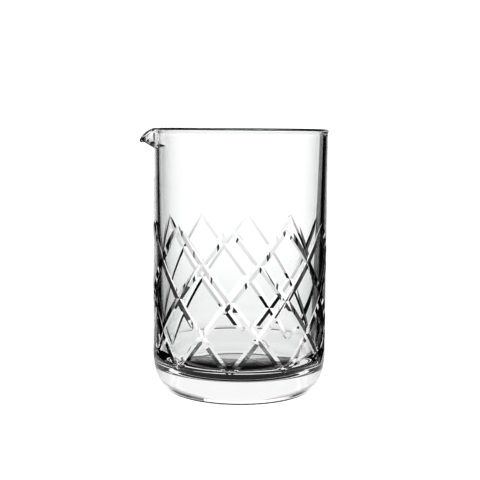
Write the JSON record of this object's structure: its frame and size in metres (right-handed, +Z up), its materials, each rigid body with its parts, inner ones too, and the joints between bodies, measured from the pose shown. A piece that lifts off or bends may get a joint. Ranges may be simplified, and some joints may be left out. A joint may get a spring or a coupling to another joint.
{
  "type": "mixing glass",
  "caption": "Clear glass stirring vessel with a thick foot, rounded heel, crossed diagonal V cuts on the lower wall and a small pulled pouring lip.",
  "frame": {"origin": "centre of the flat foot, on the axis of the glass", "axes": "+Z up along the axis of the glass; the pouring lip points along -X"},
  "size_m": [0.0999, 0.0928, 0.1398],
  "materials": {
    "clear_glass": "clear, polished"
  },
  "bodies": {
    "root": {"glass_vessel": "clear_glass"}
  },
  "joints": []
}
